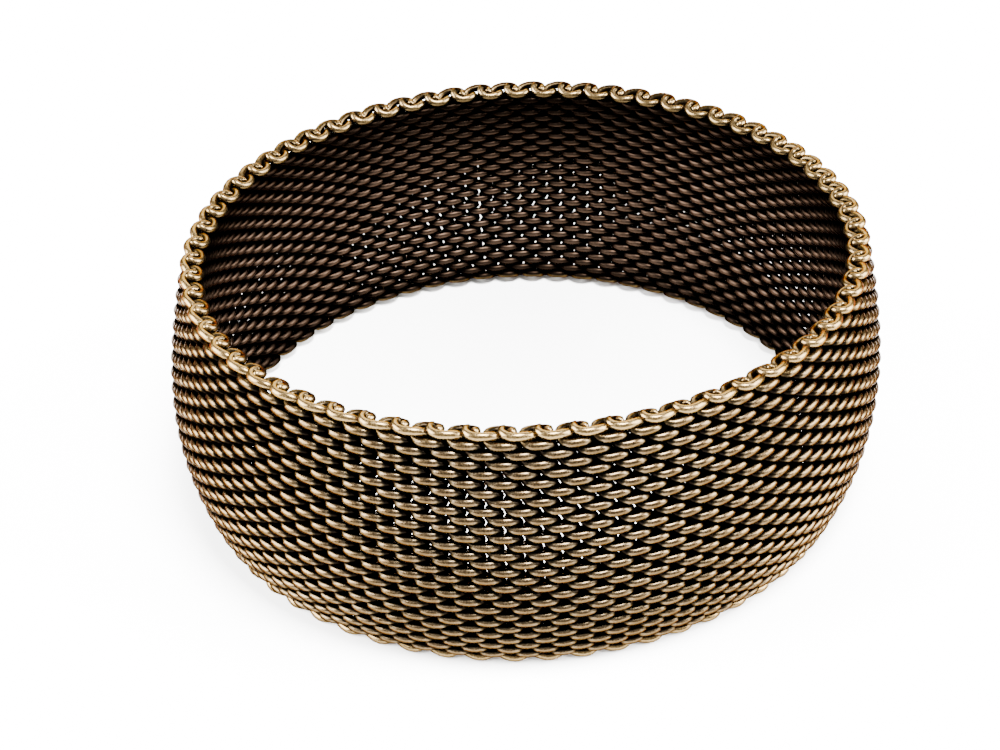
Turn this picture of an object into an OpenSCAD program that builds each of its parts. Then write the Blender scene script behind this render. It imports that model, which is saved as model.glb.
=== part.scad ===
// Mesh bracelet: a closed, barrel-shaped ring woven from interlinked coil wires.
// The weave is one solid wall here. On both edges the cut wire ends stand proud as
// interlinked hooks: an outer row whose ends turn inward, and an inner row whose
// ends turn outward. The origin is the centre of the edge that it rests on, +Z up.

/* [Ring] */
// Outside diameter at the widest place, half way up
outer_d = 71; // [62:0.5:80]
// Width of the bracelet, from edge to edge along the axis
band_w = 25.4; // [20:0.2:32]
// How much smaller the outside radius is at the edges than half way up
edge_drop = 2.2; // [1:0.1:3.4]
// Thickness of the woven wall
wall_t = 2.4; // [2.2:0.05:3.2]

/* [Wire] */
// Diameter of the wire
wire_d = 0.77; // [0.5:0.01:0.82]
// Pairs of coil wires round the ring, each pair with one outer and one inner hook
pairs = 66; // [54:1:72]

/* [Edge hooks] */
// Free space between one hook and the next in its row
hook_gap = 0.15; // [0.1:0.05:0.4]
// Least free space between the cut end of an outer hook and the wire of the inner row
end_gap = 0.1; // [0.05:0.01:0.13]
// Part of a hook's own diameter that stands proud of the wall's edge face
hook_proud = 0.8; // [0.6:0.05:0.9]
// Turn of a hook, in degrees, from the weave to its square cut end
hook_turn = 160; // [120:5:175]
// Place of an inner hook beside its outer partner, as a share of one pair
inner_lead = 0.365; // [0.34:0.005:0.4]
// How far the middle of an outer hook lies beside its own coil
hook_shift = 0.32; // [0:0.02:0.5]
// Direction of the outer hook at the front of the top edge, in degrees round the ring
front_hook = 268.5; // [266:0.1:271]

/* [Hidden] */
// Facets of round shapes in the preview
RING_FN = 360;
HOOK_FN = 48;
WIRE_FN = 24;
BRONZE = "#a08a66";
WORN_BRONZE = "#d8c39a";
// Radius of the wire
wire_r = wire_d / 2;
// Outside radius at the edges
edge_r = outer_d / 2 - edge_drop;
// Height of the wires of the hooks above the resting face, and below the top
hook_z = wire_r;
// Height of the wall's lower edge face, which the hooks stand on
face_z = wire_d * hook_proud;
// The wall's section is a flat arc through the edges and the widest place
mid_z = band_w / 2;
rise = mid_z - hook_z;
arc_r = (rise * rise + edge_drop * edge_drop) / (2 * edge_drop);
arc_x = outer_d / 2 - arc_r;
// Radius of the rows of wire on both sides of the wall, at the edges
outer_row_r = edge_r - wire_r;
inner_row_r = edge_r - wall_t + wire_r;
// Angle from one pair to the next
pair_step = 360 / pairs;
// The outer hook of the bottom edge that belongs to the next coil
bottom_hook = front_hook + pair_step / 2 + 2 * hook_shift / outer_row_r * 180 / PI;

// Radius of the bend of a hook in the row of the given radius: it fills its place beside
// the next hook, as far as its cut end stays clear of the other row
function bend_r(row_r) = min(
    (2 * row_r * sin(pair_step / 2) - hook_gap - wire_d) / 2,
    outer_row_r - inner_row_r - wire_r - end_gap
);

// The woven wall, a zone between two arcs with one centre
module wall() {
    rotate_extrude($fn = RING_FN) intersection() {
        difference() {
            translate([arc_x, mid_z]) circle(arc_r, $fn = RING_FN);
            translate([arc_x, mid_z]) circle(arc_r - wall_t, $fn = RING_FN);
        }
        translate([edge_r - 2 * wall_t, face_z]) square([outer_d, band_w - 2 * face_z]);
    }
}

// The bend of a hook round the origin, from its square cut end at start back to the weave
module hook(r, start) {
    rotate(start) rotate_extrude(angle = hook_turn, $fn = HOOK_FN)
        translate([r, 0]) circle(wire_r, $fn = WIRE_FN);
}

// The hooks of the lower edge, with an outer one at +Y
module edge_hooks() {
    outer_bend = bend_r(outer_row_r);
    inner_bend = bend_r(inner_row_r);
    for (i = [0 : pairs - 1]) rotate(i * pair_step) {
        translate([0, outer_row_r - outer_bend, hook_z]) hook(outer_bend, 180 - hook_turn);
        rotate(inner_lead * pair_step) translate([0, inner_row_r + inner_bend, hook_z])
            hook(inner_bend, -hook_turn);
    }
}

module woven_band() {
    color(BRONZE) wall();
    color(WORN_BRONZE) {
        rotate(bottom_hook - 90) edge_hooks();
        rotate(front_hook - 90) translate([0, 0, band_w]) rotate([0, 180, 0]) edge_hooks();
    }
}

woven_band();
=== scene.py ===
# %% [markdown]
# # A mesh bracelet of coil wires
# This bracelet is a closed band of metal mesh. It is woven like a bed spring mat: many
# flattened coils of wire stand side by side, and each coil is screwed through the bends of
# its neighbours. The band is widest half way up, like a barrel. On both edges the wires are
# cut just past their last bend, so the ends show as two rows of little hooks.
#
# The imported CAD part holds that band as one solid, for its size, weight and contact. This
# script adds the looks: the wires themselves, their metal, a floor, lights and a camera.

import math

import bpy
import numpy as np
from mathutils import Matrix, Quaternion, Vector


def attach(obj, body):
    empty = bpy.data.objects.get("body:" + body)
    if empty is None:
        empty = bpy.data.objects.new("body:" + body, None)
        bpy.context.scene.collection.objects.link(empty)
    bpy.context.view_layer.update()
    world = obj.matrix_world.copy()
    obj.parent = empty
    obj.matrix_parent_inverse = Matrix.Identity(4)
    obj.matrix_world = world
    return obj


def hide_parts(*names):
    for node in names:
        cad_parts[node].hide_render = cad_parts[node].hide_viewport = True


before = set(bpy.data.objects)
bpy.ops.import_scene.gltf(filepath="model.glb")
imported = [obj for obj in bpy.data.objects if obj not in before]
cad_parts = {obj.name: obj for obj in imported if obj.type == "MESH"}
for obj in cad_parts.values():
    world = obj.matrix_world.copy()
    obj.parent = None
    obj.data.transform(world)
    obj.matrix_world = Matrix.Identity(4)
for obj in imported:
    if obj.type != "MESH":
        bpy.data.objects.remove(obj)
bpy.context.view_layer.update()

# %% [markdown]
# ## Sizes
# A maker thinks in millimetres and Blender in metres, so every size is written in
# millimetres and turned to metres in one place, where the mesh is made. The weave has one
# wire with an outer hook on the top edge, then one with an inner hook there, and so on
# round the ring. That makes a pair, and the number of pairs follows from the photograph.

# %% The bracelet's sizes in millimetres
MM = 0.001
OUTER_D = 71.0
WIDTH = 25.4
WALL = 2.4
WIRE = 0.77
PAIRS = 66
TURNS = 15
print("Wires round the ring:", 2 * PAIRS, "with", TURNS, "turns each")

# %% [markdown]
# ## The line up the wall
# Everything follows one line: the centres of the outer strands, from the lower edge to the
# upper edge. It could be an arc, but a band that was worn and pressed leans in a little
# more above its middle. So it is an arc's bulge with a small cubic term, measured along
# its own length, because the coils' pitch is even along the wall and not along its height.
# A flexible band is never quite round either, so its radius swings by a fraction of a
# millimetre on the way round, and its two edges are a little out of line with each other.

# %% The profile of the band
EDGE_DROP = 2.2
SKEW = 0.7
HIGH = WIDTH / 2 - WIRE / 2


def profile(samples=4001):
    """Length along the line, its radius and height, and its outward normal.

    With t from -1 at the bottom to 1 at the top, the radius is the largest radius less
    EDGE_DROP times t squared, and less SKEW times the difference of t and t cubed. The
    height above the middle is t times HIGH.
    """
    t = np.linspace(-1, 1, samples)
    radius = OUTER_D / 2 - WIRE / 2 - EDGE_DROP * t**2 - SKEW * (t - t**3)
    height = WIDTH / 2 + HIGH * t
    length = np.concatenate([[0], np.cumsum(np.hypot(np.diff(radius), np.diff(height)))])
    slope_r, slope_z = np.gradient(radius, length), np.gradient(height, length)
    return length, radius, height, slope_z, -slope_r


LINE = profile()
SPAN = LINE[0][-1]
# From its first run to its last one a wire makes half a turn less than TURNS
PITCH = SPAN / (TURNS - 0.5)
print("Length up the wall: %.2f mm, pitch of a coil: %.3f mm" % (SPAN, PITCH))


# %% A point on the wall
def on_wall(s, depth):
    """Radius and height at length s along the line and depth inwards, and the normal there.

    Depth is measured against the outward normal. Past the ends of the line it goes on
    straight, in the direction that it has there.
    """
    length, radius, height, out_r, out_z = LINE
    inside = np.clip(s, 0, SPAN)
    over = s - inside
    n_r, n_z = np.interp(inside, length, out_r), np.interp(inside, length, out_z)
    r = np.interp(inside, length, radius) - n_z * over - n_r * depth
    z = np.interp(inside, length, height) + n_r * over - n_z * depth
    return r, z, n_r, n_z


print("Half way up, the outer strands run at a radius of %.2f mm" % on_wall(SPAN / 2, 0)[0])

# %% Out of round
# Each swing is a size in millimetres and the direction of its first crest in degrees
OVAL = (0.16, 15)
THREE_LOBED = (0.14, -17)
OVAL_AT_EDGES = (0.16, 26)
EDGE_OFFSET = (0.41, 38)


def swing(waves, size_and_crest, angle):
    """Size times the cosine of waves times the angle from the crest."""
    size, crest = size_and_crest
    return size * np.cos(waves * (angle - math.radians(crest)))


def out_of_round(angle, height):
    """What to add to the radius: OVAL, THREE_LOBED, and t times the two swings of the edges.

    t is -1 on the lower edge and 1 on the upper one, so the edges' swings change sign
    between them.
    """
    t = (height - WIDTH / 2) / HIGH
    at_edges = swing(2, OVAL_AT_EDGES, angle) + swing(1, EDGE_OFFSET, angle)
    return swing(2, OVAL, angle) + swing(3, THREE_LOBED, angle) + t * at_edges


most = sum(size for size, crest in (OVAL, THREE_LOBED, OVAL_AT_EDGES, EDGE_OFFSET))
print("Out of round by at most %.2f mm" % most)

# %% [markdown]
# ## One coil wire
# A real coil is wound on a flat blade, so from above it is an ellipse: two long runs, one
# on each face of the wall, and two bends that link with the neighbours. The runs are nearly
# level and the wire climbs in the bends, which a sine of twice the turn gives. The inner
# runs hang a little lower than the outer ones. The hooks at both ends are the same path,
# only cut past the last bend. They are level, narrower, so that they clear each other on the
# smaller edge, and pushed a little to the side as the real ones are. The last bend before a
# hook is already lifted towards it, and the cut tips of the upper edge stick up slightly.

# %% The shape of a coil
# Lengths are in millimetres, and places along the wire in degrees of its turn
COIL_DEPTH = WALL - WIRE
HALF_WIDTH = 1.34
LEVELLING = 0.65
SAG = 0.03
HOOK_PAST_BEND = 38
LIFT_STARTS = 135
LIFT_TAKES = 90
LIFT_SHARE = 0.6
TIP_RISE = 0.28
HOOK_STARTS = 110
HOOK_NARROWING = 0.8
OUTER_HOOK_SHIFT = 0.42
INNER_HOOK_SHIFT = -0.15
RINGS_PER_TURN = 24
print("A coil is %.2f mm wide and %.2f mm deep" % (2 * HALF_WIDTH + WIRE, COIL_DEPTH + WIRE))


# %% The path of one wire
def ease(x):
    """0 below 0, 1 above 1, and a smooth S between them: 3 x squared less 2 x cubed."""
    x = np.clip(x, 0, 1)
    return x * x * (3 - 2 * x)


def coil_path(outer_on_top):
    """Centre line of one wire that stands at angle 0, its coil's axis and the wall's normal.

    Each is a row of sideways, radius and height for each point. The turning angle a is 0 at
    the right bend, 90 degrees on the outer run, 180 at the left bend and 270 on the inner
    run. Sideways is half a width times cos a, and outwards is half a depth times sin a. The
    climb is the pitch times the turn plus LEVELLING times sin 2a, and SAG times the way
    outwards.

    Past the last run the turn adds no more climb, and the wire is cut HOOK_PAST_BEND degrees
    past the next bend. From LIFT_STARTS degrees before the run, an ease over LIFT_TAKES
    degrees takes the wire LIFT_SHARE of the way to the hook's level. Past the run, another
    adds TIP_RISE at the top. From HOOK_STARTS degrees before it, a third one makes the coil
    HOOK_NARROWING times as wide and adds the shift of the hook's row.
    """
    if outer_on_top:
        first, last = -90, 360 * TURNS - 270
        top_shift, low_shift = -OUTER_HOOK_SHIFT, -INNER_HOOK_SHIFT
    else:
        first, last = 90, 360 * TURNS - 90
        top_shift, low_shift = INNER_HOOK_SHIFT, OUTER_HOOK_SHIFT
    past = 90 + HOOK_PAST_BEND
    step = 360 / RINGS_PER_TURN
    main = np.arange(first, last + step / 2, step)
    ends = np.linspace(step, past, int(round(past / step)) + 1)
    degrees = np.concatenate([first - ends[::-1], main, last + ends])
    above, below = degrees - last, first - degrees

    a = np.radians(degrees)
    turn = np.radians(np.clip(degrees, first, last))
    climb = PITCH / (2 * np.pi) * (turn - np.radians(first) + LEVELLING * np.sin(2 * turn))
    to_top, to_foot = (ease((way + LIFT_STARTS) / LIFT_TAKES) for way in (above, below))
    climb += LIFT_SHARE * (to_top * (SPAN - climb) - to_foot * climb)
    climb += TIP_RISE * ease(above / past)

    top, low = (ease((way + HOOK_STARTS) / HOOK_STARTS) for way in (above, below))
    sideways = HALF_WIDTH * np.cos(a) * (1 - (1 - HOOK_NARROWING) * (top + low))
    sideways += top_shift * top + low_shift * low
    mid_r, mid_z, n_r, n_z = on_wall(climb, COIL_DEPTH / 2)
    out = COIL_DEPTH / 2 * np.sin(a)
    radius = mid_r + n_r * out - n_z * SAG * out
    height = mid_z + n_z * out + n_r * SAG * out
    path = np.stack([sideways, radius, height], -1)
    axis = np.stack([np.zeros_like(a), mid_r, mid_z], -1)
    face = np.stack([np.zeros_like(a), n_r, n_z], -1)
    return path, axis, face


one_wire = coil_path(True)[0]
wire_length = np.linalg.norm(np.diff(one_wire, axis=0), axis=1).sum()
print("Points along a wire: %d, its length: %.1f mm" % (len(one_wire), wire_length))

# %% [markdown]
# ## From path to wire
# A round wire is a circle carried along the path. Blender's curve bevel can do that, but
# here the tube is worked out directly, so that the same arrays also tell each point how deep
# it lies in the weave. That number drives the wear of the finish later. The first and last
# rings are a little smaller, which gives the cut ends the small burr edge that shears leave.
# Eight flat sides would look thinner than a round wire, so the corners stand ROUNDNESS times
# as far out as the wire's radius, and the flats lie just inside it.

# %% Carry a circle along the path
SIDES = 8
BURR = 0.86
ROUNDNESS = 1.07


def wire_tube(path, axis):
    """Rings of points round a path: path plus the wire's radius times (cos b N + sin b B).

    N points away from the coil's axis and square to the path, B is the path's direction
    crossed with N, and b goes once round in SIDES steps.
    """
    start, end = path[0] * 2 - path[1], path[-1] * 2 - path[-2]
    extended = np.concatenate([[start], path, [end]])
    along = extended[2:] - extended[:-2]
    along /= np.linalg.norm(along, axis=1, keepdims=True)
    away = path - axis
    away -= along * np.sum(away * along, axis=1, keepdims=True)
    away /= np.linalg.norm(away, axis=1, keepdims=True)
    side = np.cross(along, away)
    b = np.arange(SIDES) * 2 * np.pi / SIDES
    radius = np.full(len(path), ROUNDNESS * WIRE / 2)
    radius[[0, -1]] *= BURR
    rings = np.cos(b)[None, :, None] * away[:, None] + np.sin(b)[None, :, None] * side[:, None]
    return path[:, None] + radius[:, None, None] * rings


def tube_faces(rings):
    """Four-sided faces between neighbouring rings, and one face of SIDES corners on each end.

    The face on the first end runs backwards, so that both ends face outwards.
    """
    ring, side = np.meshgrid(np.arange(rings - 1), np.arange(SIDES), indexing="ij")
    here, there = ring * SIDES + side, ring * SIDES + (side + 1) % SIDES
    quads = np.stack([here, there, there + SIDES, here + SIDES], -1).reshape(-1, 4)
    first_cap = np.arange(SIDES)[::-1]
    last_cap = np.arange(SIDES) + (rings - 1) * SIDES
    return quads, np.stack([first_cap, last_cap])


print("Faces on a wire:", sum(len(faces) for faces in tube_faces(len(one_wire))))

# %% [markdown]
# ## Where the finish is worn, and where light and shade are painted
# Cloth, sleeves and the wrist rub a mesh only where they reach it. The crests of the outer
# runs are rubbed most, and the bends inside the wall not at all. The hooks on both edges rub
# against everything. Wear like that can be painted by hand, but here it follows from where
# each point lies, so it still fits when the weave is changed. Each point gets four numbers,
# and the metal reads them as attributes of the mesh. Some of them also carry painted light
# and shade: the inner wall is darker towards both edges, the inner hooks lighter towards the
# back of the ring, and the outer hooks' inward sides darker there.

# %% Where the wear and the inner wall's painted light and shade start and fade
# Lengths in millimetres from the band's edges
EDGE_WEAR_FADES = (0.5, 1.1)
TURNED_IN_FADES = (0.6, 1.4)
# Heights in millimetres over which the inner wall's painted shade at the top and at the foot
# gives way to painted light in the middle
INSIDE_LIGHT_BELOW_TOP = WIDTH / 2.2
INSIDE_LIGHT_ABOVE_FOOT = WIDTH / 4.8
# Depths in millimetres, between which the outer row of hooks gives way to the inner one
ROWS_PART = (1.0, 1.4)
# Shelter in millimetres of depth: for each millimetre from the edge, and inside a coil
EDGE_SHELTER = 0.5
COIL_SHELTER = 0.4
# Where a share starts, by the cosine of the angle round a wire, which is 1 on the side away
# from its coil. A share is full where the cosine is 1 past that.
INTO_COIL_BELOW = -0.2
BARE_ABOVE = -1.1
TO_WRIST_BELOW = 0.9
# From this height up the inner wall's painted light is full; below it, painted shade darkens it
print("The wrist's polish is full from %.1f mm up" % INSIDE_LIGHT_ABOVE_FOOT)


# %% Numbers for the wear of one wire
def fade(x, start, end):
    """1 up to start, 0 from end on, and an ease between them."""
    return 1 - ease((x - start) / (end - start))


def wear_of_wire(tube, axis, face):
    """Numbers by name for each point of a wire that stands at angle 0.

    Depth is half the wall less the point's height along the face's normal. Shelter is the
    smaller of the depth and EDGE_SHELTER times the way to the nearer edge of the band, plus
    COIL_SHELTER times the share that faces into the wire's own coil; painted shade is added
    to it round the ring. Inside light is 1 over the middle, and two eases take it to 0 at
    the edges: it is painted light and shade on the inner wall, darker towards both edges.

    Outer and inner wear are 1 on the edges' hooks and fade out below them. The depth tells
    the rows apart. Turned in is 1 on the sides of the outer hooks that face the wrist.
    """
    depth = WALL / 2 - np.sum((tube - axis[:, None]) * face[:, None], axis=-1)
    height = tube[..., 2]
    to_edge = np.minimum(height, WIDTH - height)
    facing_out = np.cos(np.arange(SIDES) * 2 * np.pi / SIDES)[None]
    into_coil = np.clip(INTO_COIL_BELOW - facing_out, 0, 1)
    bare = np.clip(facing_out - BARE_ABOVE, 0, 1)
    to_wrist = np.clip(TO_WRIST_BELOW - facing_out, 0, 1)
    outer_row = fade(depth, *ROWS_PART)
    at_edge = fade(to_edge, *EDGE_WEAR_FADES) * bare
    return {
        "depth": depth,
        "shelter_and_shade": np.minimum(depth, EDGE_SHELTER * to_edge) + COIL_SHELTER * into_coil,
        "inside_light": ease((WIDTH - height) / INSIDE_LIGHT_BELOW_TOP) * ease(height / INSIDE_LIGHT_ABOVE_FOOT),
        "outer_wear": at_edge * outer_row,
        "inner_wear": at_edge * (1 - outer_row),
        "turned_in": fade(to_edge, *TURNED_IN_FADES) * outer_row * to_wrist,
    }


kinds = []
for outer_on_top in (True, False):
    path, axis, face = coil_path(outer_on_top)
    tube = wire_tube(path, axis)
    kinds.append((tube, wear_of_wire(tube, axis, face)))
depths = kinds[0][1]["depth"]
print("Points lie %.2f to %.2f mm below the outer face" % (depths.min(), depths.max()))

# %% The same numbers round the ring
FRONT = math.radians(270)
# Painted shade on the outer hooks' inward sides, full at the back of the ring
SHADED_AT_BACK = 0.5
# The inner hooks' wear at the front, and the painted light added to them towards the back
INNER_WEAR_AT_FRONT = 0.05
MORE_INNER_LIGHT_AT_BACK = 0.7


def wear_round_ring(wear, angles):
    """The four attributes of all wires of a kind, from one wire's numbers and all the angles.

    At back is (1 - cos(angle - FRONT)) / 2, which is 0 at the front and 1 at the back. The
    inner hooks get a little wear all round and painted light that grows towards the back.
    The outer hooks are worn bright all round, but at the back their sides that face the
    wrist are painted dark, as painted shade.
    """
    at_back = ((1 - np.cos(angles - FRONT)) / 2)[:, None, None]
    # Painted shade: at the back, the outer hooks' sides that face the wrist are made dark
    dark = at_back**2 * wear["turned_in"]
    # Painted light: the inner hooks are made lighter towards the back of the ring
    inner_wear_and_light = INNER_WEAR_AT_FRONT + MORE_INNER_LIGHT_AT_BACK * at_back
    every_wire = np.ones_like(at_back)
    return {
        "shelter_and_shade": wear["shelter_and_shade"] + SHADED_AT_BACK * dark,
        "depth_in_wall": wear["depth"] * every_wire,
        "painted_light_inside": wear["inside_light"] * every_wire,
        "edge_wear_and_light": (1 - dark) * wear["outer_wear"] + inner_wear_and_light * wear["inner_wear"],
    }


at_front = wear_round_ring(kinds[0][1], np.array([FRONT]))
print("Largest at the front:", {key: round(float(n.max()), 2) for key, n in at_front.items()})

# %% [markdown]
# ## The whole weave
# There are only two kinds of wire, and each kind is turned round the ring to its places. A
# modifier could repeat them, but arrays do it at once: the points are turned by each wire's
# own angle. Real wires never lie quite alike, so each one is moved at random by a hundredth
# of a millimetre or two. A worn mesh is also stretched in some places, so the coils stand up
# to 2.5 per cent further apart towards the left of the front, and as much closer on the other
# side. The weave is kept in six pieces, because a single piece would be too heavy.

# %% Places round the ring
FRONT_WIRE = math.radians(268.95)
LOOSER_BY = 0.025
LOOSEST_AT = math.radians(229)


def stretched(angles):
    """The angles plus LOOSER_BY times the sine of the way from LOOSEST_AT.

    What that adds at the front wire is taken off all of them, so that one stays in its place.
    """
    at_front_wire = math.sin(FRONT_WIRE - LOOSEST_AT)
    return angles + LOOSER_BY * (np.sin(angles - LOOSEST_AT) - at_front_wire)


def place(points, angles, slack):
    """Each wire's points, turned round Z by its angle g and moved by its slack.

    x is -sideways sin g + radius cos g, and y is sideways cos g + radius sin g.
    """
    g = angles[:, None, None]
    sideways, radius, height = (points[None, ..., i] for i in range(3))
    sideways = sideways + slack[:, 0, None, None]
    radius = radius - np.abs(slack[:, 1, None, None]) + out_of_round(g, height)
    x = radius * np.cos(g) - sideways * np.sin(g)
    y = radius * np.sin(g) + sideways * np.cos(g)
    return np.stack([x, y, np.broadcast_to(height, x.shape)], -1)


evenly = FRONT_WIRE + np.arange(PAIRS) * 2 * np.pi / PAIRS
moved = np.degrees(stretched(evenly) - evenly)
print("The stretch turns the wires by %.2f to %.2f degrees" % (moved.min(), moved.max()))


# %% From arrays to a mesh
def add_mesh(name, points, quads, caps, attributes):
    """A mesh object at the origin from points in millimetres, with attributes of the points."""
    mesh = bpy.data.meshes.new(name)
    corners = np.concatenate([quads.ravel(), caps.ravel()])
    sizes = np.concatenate([np.full(len(quads), 4), np.full(len(caps), caps.shape[1])])
    starts = np.concatenate([[0], np.cumsum(sizes)[:-1]])
    mesh.vertices.add(len(points))
    mesh.vertices.foreach_set("co", (points * MM).astype(np.float32).ravel())
    mesh.loops.add(len(corners))
    mesh.loops.foreach_set("vertex_index", corners.astype(np.int32))
    mesh.polygons.add(len(sizes))
    mesh.polygons.foreach_set("loop_start", starts.astype(np.int32))
    mesh.polygons.foreach_set("use_smooth", sizes == 4)
    mesh.update(calc_edges=True)
    mesh.validate()
    for key, numbers in attributes.items():
        layer = mesh.attributes.new(key, "FLOAT", "POINT")
        layer.data.foreach_set("value", numbers.astype(np.float32))
    piece = bpy.data.objects.new(name, mesh)
    bpy.context.scene.collection.objects.link(piece)
    return piece


# %% The pieces of the weave
PIECES = 6
SLACK = 0.012
chance = np.random.default_rng(7)
weave = []
triangles = 0
for number in range(PIECES):
    wires = np.arange(number * PAIRS // PIECES, (number + 1) * PAIRS // PIECES)
    rows = []
    used = 0
    for kind, (tube, wear) in enumerate(kinds):
        angles = stretched(FRONT_WIRE + (wires + kind / 2) * 2 * np.pi / PAIRS)
        placed = place(tube, angles, chance.normal(0, SLACK, (len(wires), 2)))
        wire_quads, wire_caps = tube_faces(len(tube))
        first_points = used + np.arange(len(wires))[:, None, None] * len(tube) * SIDES
        row = {
            "points": placed.reshape(-1, 3),
            "quads": (wire_quads + first_points).reshape(-1, 4),
            "caps": (wire_caps + first_points).reshape(-1, SIDES),
        }
        for key, numbers in wear_round_ring(wear, angles).items():
            row[key] = numbers.ravel()
        rows.append(row)
        used += len(row["points"])
    joined = {key: np.concatenate([row[key] for row in rows]) for key in rows[0]}
    points, quads, caps = (joined.pop(key) for key in ("points", "quads", "caps"))
    weave.append(add_mesh("coil_wires_%d" % (number + 1), points, quads, caps, joined))
    triangles += 2 * len(quads) + (SIDES - 2) * len(caps)
print("Pieces of weave:", len(weave), "triangles in all:", triangles)

# %% [markdown]
# ## Antiqued bronze wire
# The wire is drawn bronze, darkened in a bath until it is nearly black and then rubbed
# bright again where a cloth reaches. To the eye that gives tan metal with a pinkish middle on
# the outer runs, olive flanks and almost black gaps. So the finish reads how sheltered each
# point is, breaks that up with two sizes of noise, and mixes a few coppery colours.
# The hooks on both edges are worn down to the bare bronze, and their colour is raised a little
# as painted light. Inside, the bath's brown is left, with painted shade that darkens it
# towards both edges of the band.


# %% Colours and helpers for nodes
def linear(hex_code):
    """An sRGB hex colour as linear light.

    That is c / 12.92 for dark values, else ((c + 0.055) / 1.055) to the power of 2.4.
    """
    values = [int(hex_code[i : i + 2], 16) / 255 for i in (1, 3, 5)]
    return [c / 12.92 if c <= 0.04045 else ((c + 0.055) / 1.055) ** 2.4 for c in values] + [1.0]


def add_node(tree, kind, settings=None, values=None, links=None):
    """Adds a node with its properties and socket values, and links its sockets to outputs."""
    node = tree.nodes.new(kind)
    for key, value in (settings or {}).items():
        setattr(node, key, value)
    for key, value in (values or {}).items():
        node.inputs[key].default_value = value
    for key, source in (links or {}).items():
        tree.links.new(source, node.inputs[key])
    return node


def set_ramp(node, stops):
    """Gives a colour ramp its stops: pairs of a place from 0 to 1 and a hex colour.

    A ramp starts with two stops. More are added half way, and then each gets its own place.
    """
    elements = node.color_ramp.elements
    while len(elements) < len(stops):
        elements.new(0.5)
    for element, (where, colour) in zip(elements, stops):
        element.position = where
        element.color = linear(colour)


bronze = bpy.data.materials.new("antiqued_bronze_wire")
bronze.use_nodes = True
tree = bronze.node_tree
tree.nodes.clear()
print("Brown #3a2f1f in linear light:", [round(c, 3) for c in linear("#3a2f1f")])

# %% Patterns and numbers that the bronze reads
# Blotches of patina are about 1 mm across. The real rubbing marks are finer than the picture
# can show, so they are drawn as coarse as they need to be to show, about 0.17 mm apart.
BLOTCHES_PER_MM = 0.9
MARKS_PER_MM = 6.0
on_object = add_node(tree, "ShaderNodeTexCoord").outputs["Object"]
blotches = add_node(
    tree,
    "ShaderNodeTexNoise",
    values={"Scale": BLOTCHES_PER_MM / MM, "Detail": 3.0, "Roughness": 0.6},
    links={"Vector": on_object},
).outputs["Fac"]
marks = add_node(
    tree,
    "ShaderNodeTexNoise",
    values={"Scale": MARKS_PER_MM / MM, "Detail": 2.0, "Roughness": 0.7},
    links={"Vector": on_object},
).outputs["Fac"]
shelter_and_shade, depth_in_wall, painted_light_inside, edge_wear_and_light = (
    add_node(tree, "ShaderNodeAttribute", {"attribute_name": name}).outputs["Fac"]
    for name in ("shelter_and_shade", "depth_in_wall", "painted_light_inside", "edge_wear_and_light")
)
print("Blotches of %.1f mm and marks of %.2f mm" % (1 / BLOTCHES_PER_MM, 1 / MARKS_PER_MM))

# %% The outer side, from rubbed to dark
# The blotches move the shelter, with the painted shade that it carries, up or down by up to
# half of BLOTCH_WEAR, in millimetres. What that gives picks the colour, and the darkest one
# is reached at DARKEST_AT.
BLOTCH_WEAR = 0.3
DARKEST_AT = 0.7
RUBBED_TO_DARK = [
    (0.0, "#3a2f1f"),
    (0.12, "#443725"),
    (0.26, "#4d4232"),
    (0.38, "#211c13"),
    (0.5, "#090705"),
    (1.0, "#050302"),
]
blotch_shift = add_node(
    tree,
    "ShaderNodeMath",
    {"operation": "MULTIPLY_ADD"},
    values={1: BLOTCH_WEAR, 2: -BLOTCH_WEAR / 2},
    links={0: blotches},
)
uneven_shelter_and_shade = add_node(
    tree,
    "ShaderNodeMath",
    {"operation": "ADD"},
    links={0: shelter_and_shade, 1: blotch_shift.outputs[0]},
)
darkness = add_node(
    tree,
    "ShaderNodeMapRange",
    values={"From Min": 0.0, "From Max": DARKEST_AT, "To Min": 0.0, "To Max": 1.0},
    links={"Value": uneven_shelter_and_shade.outputs[0]},
).outputs[0]
outer_colour = add_node(tree, "ShaderNodeValToRGB", links={"Fac": darkness})
set_ramp(outer_colour, RUBBED_TO_DARK)
print("Colours from rubbed to dark:", len(RUBBED_TO_DARK))

# %% The inner side
# The brown layer inside is thick and dull: it is rougher, and its glancing reflections are
# weaker. It starts at a depth in millimetres. Painted shade picks its colour: darker towards
# both edges of the band, and brown in the middle.
INSIDE_STARTS, INSIDE_FULL = 2.1, 2.42
inner_runs = add_node(
    tree,
    "ShaderNodeMapRange",
    {"interpolation_type": "SMOOTHSTEP"},
    values={"From Min": INSIDE_STARTS, "From Max": INSIDE_FULL, "To Min": 0.0, "To Max": 1.0},
    links={"Value": depth_in_wall},
)
inside = add_node(
    tree,
    "ShaderNodeMath",
    {"operation": "MULTIPLY"},
    links={0: inner_runs.outputs[0], 1: darkness},
).outputs[0]
# Painted shade on the inside: A is its colour at both edges of the band, B its brown in the
# middle
inside_colour = add_node(
    tree,
    "ShaderNodeMix",
    {"data_type": "RGBA"},
    values={"A": linear("#050302"), "B": linear("#2f251e")},
    links={"Factor": painted_light_inside},
)
with_inside = add_node(
    tree,
    "ShaderNodeMix",
    {"data_type": "RGBA"},
    links={
        "Factor": inside,
        "A": outer_colour.outputs["Color"],
        "B": inside_colour.outputs["Result"],
    },
)
glancing = add_node(
    tree,
    "ShaderNodeMix",
    {"data_type": "RGBA"},
    values={"A": linear("#8c7c6c"), "B": linear("#48403c")},
    links={"Factor": inside},
)
print("The brown layer is full %.2f mm below the outer face" % INSIDE_FULL)

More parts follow.
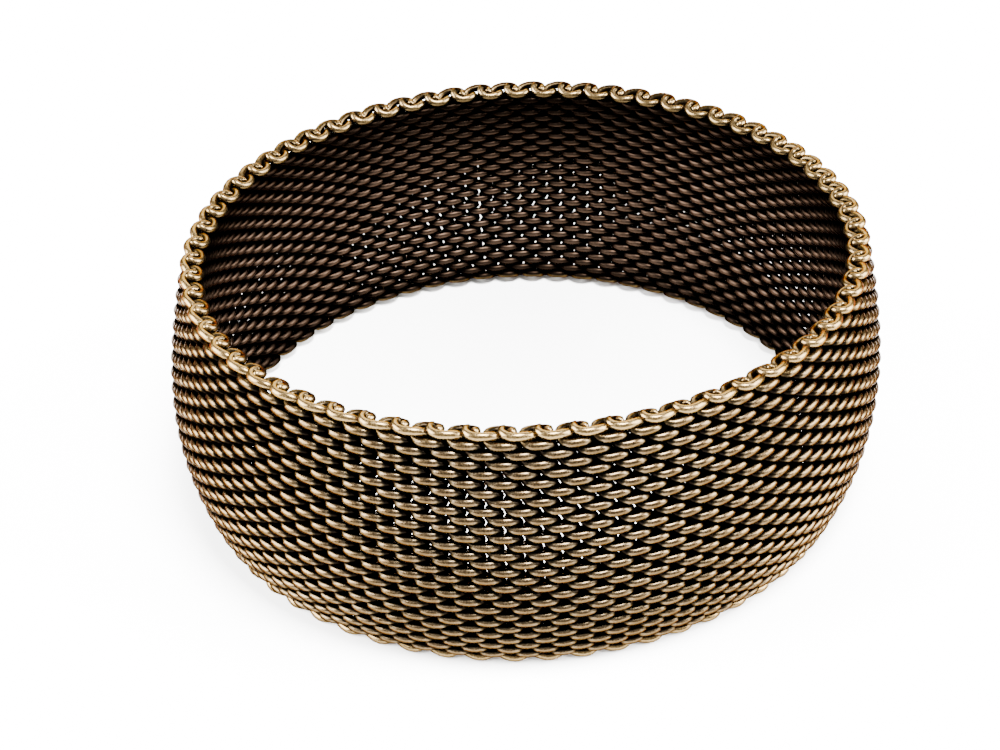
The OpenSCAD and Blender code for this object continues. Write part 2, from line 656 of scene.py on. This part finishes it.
# %% Bare hooks and rubbing marks
# The hooks show the golden bronze itself, worn bare and raised a little as painted light, and
# the marks darken everything a little
MARK_TINTS = [(0.35, "#b8a890"), (0.65, "#ffffff")]
MARK_STRENGTH = 0.7
with_edges = add_node(
    tree,
    "ShaderNodeMix",
    {"data_type": "RGBA"},
    values={"B": linear("#675639")},
    links={"Factor": edge_wear_and_light, "A": with_inside.outputs["Result"]},
)
mark_tint = add_node(tree, "ShaderNodeValToRGB", links={"Fac": marks})
set_ramp(mark_tint, MARK_TINTS)
tinted = add_node(
    tree,
    "ShaderNodeMix",
    {"data_type": "RGBA", "blend_type": "MULTIPLY"},
    values={"Factor": MARK_STRENGTH},
    links={"A": with_edges.outputs["Result"], "B": mark_tint.outputs["Color"]},
)
print("Strength of the marks' tint:", MARK_STRENGTH)

# %% Gloss and bump
# Rubbed wire has a soft gloss, which the marks break up. Nearly all of their noise lies
# between NOISE_LOW and NOISE_HIGH, and that gives a roughness from SMOOTHEST to ROUGHEST.
NOISE_LOW, NOISE_HIGH = 0.3, 0.7
SMOOTHEST, ROUGHEST = 0.18, 0.32
ROUGHER_INSIDE = 0.16
BUMP_HEIGHT = 0.04
BUMP_STRENGTH = 0.12
gloss = add_node(
    tree,
    "ShaderNodeMapRange",
    values={
        "From Min": NOISE_LOW,
        "From Max": NOISE_HIGH,
        "To Min": SMOOTHEST,
        "To Max": ROUGHEST,
    },
    links={"Value": marks},
)
roughness = add_node(
    tree,
    "ShaderNodeMath",
    {"operation": "MULTIPLY_ADD"},
    values={1: ROUGHER_INSIDE},
    links={0: inside, 2: gloss.outputs[0]},
)
bump = add_node(
    tree,
    "ShaderNodeBump",
    values={"Strength": BUMP_STRENGTH, "Distance": BUMP_HEIGHT * MM},
    links={"Height": marks},
)
surface = add_node(
    tree,
    "ShaderNodeBsdfPrincipled",
    values={"Metallic": 1.0},
    links={
        "Base Color": tinted.outputs["Result"],
        "Specular Tint": glancing.outputs["Result"],
        "Roughness": roughness.outputs[0],
        "Normal": bump.outputs["Normal"],
    },
)
add_node(tree, "ShaderNodeOutputMaterial", links={"Surface": surface.outputs["BSDF"]})
print("Nodes in the bronze:", len(tree.nodes))

# %% Dress the weave
for piece in weave:
    piece.data.materials.append(bronze)
    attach(piece, "root")
    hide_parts("woven_band")
print("The weave wears", bronze.name)

# %% [markdown]
# ## Floor, lights and camera
# The photograph shows the bracelet on a white sweep with soft light from all round. A large
# pale floor and a bright world give that. A key light overhead, a broad light behind and a
# window on each side make the streaks on the wires and keep the sides of the ring bright.

# %% The floor
FLOOR_SIZE = 4.0
half = FLOOR_SIZE / 2
corners = [(-half, -half, 0), (half, -half, 0), (half, half, 0), (-half, half, 0)]
floor_mesh = bpy.data.meshes.new("floor")
floor_mesh.from_pydata(corners, [], [(0, 1, 2, 3)])
floor = bpy.data.objects.new("floor", floor_mesh)
bpy.context.scene.collection.objects.link(floor)
paper = bpy.data.materials.new("white_paper_sweep")
paper.use_nodes = True
paper_surface = paper.node_tree.nodes["Principled BSDF"]
paper_surface.inputs["Base Color"].default_value = linear("#f7f7f7")
paper_surface.inputs["Roughness"].default_value = 0.9
floor.data.materials.append(paper)
print("The floor is %.0f m wide" % FLOOR_SIZE)

# %% The lights
# Each light has its place in metres, the width of its square in metres and its watts
LIT_POINT = Vector((0, 0, 0.012))
LIGHTS = {
    "key_light_overhead": ((0.12, -0.14, 0.67), 0.25, 46.0),
    "backdrop_light": ((0.0, 0.9, 0.5), 0.8, 35.0),
    "window_left": ((-0.62, -0.05, 0.28), 0.5, 60.0),
    "window_right": ((0.62, -0.05, 0.28), 0.5, 57.0),
}
world = bpy.data.worlds.new("soft_room")
bpy.context.scene.world = world
world.use_nodes = True
room = world.node_tree.nodes["Background"]
room.inputs["Color"].default_value = linear("#ffffff")
room.inputs["Strength"].default_value = 2.0
for name, (where, size, power) in LIGHTS.items():
    light = bpy.data.lights.new(name, "AREA")
    light.shape = "SQUARE"
    light.size = size
    light.energy = power
    lamp = bpy.data.objects.new(name, light)
    lamp.location = where
    lamp.rotation_euler = (LIT_POINT - Vector(where)).to_track_quat("-Z", "Y").to_euler()
    bpy.context.scene.collection.objects.link(lamp)
print("Lights:", ", ".join(LIGHTS))

# %% The camera
# Its place, aim, roll and lens were fitted to the outline and hooks in the photograph
AIM = Vector((-2.441, -5.924, 12.7)) * MM
ROLL = math.radians(-2.608)
camera_data = bpy.data.cameras.new("camera")
camera_data.lens = 65.2
camera_data.clip_start = 0.01
camera = bpy.data.objects.new("camera", camera_data)
camera.location = Vector((0.0, -152.4, 116.81)) * MM
towards_aim = (AIM - camera.location).to_track_quat("-Z", "Y")
camera.rotation_euler = (towards_aim @ Quaternion((0, 0, 1), ROLL)).to_euler()
bpy.context.scene.collection.objects.link(camera)
bpy.context.scene.camera = camera
print("The camera stands %.0f mm from its aim" % ((AIM - camera.location).length / MM))
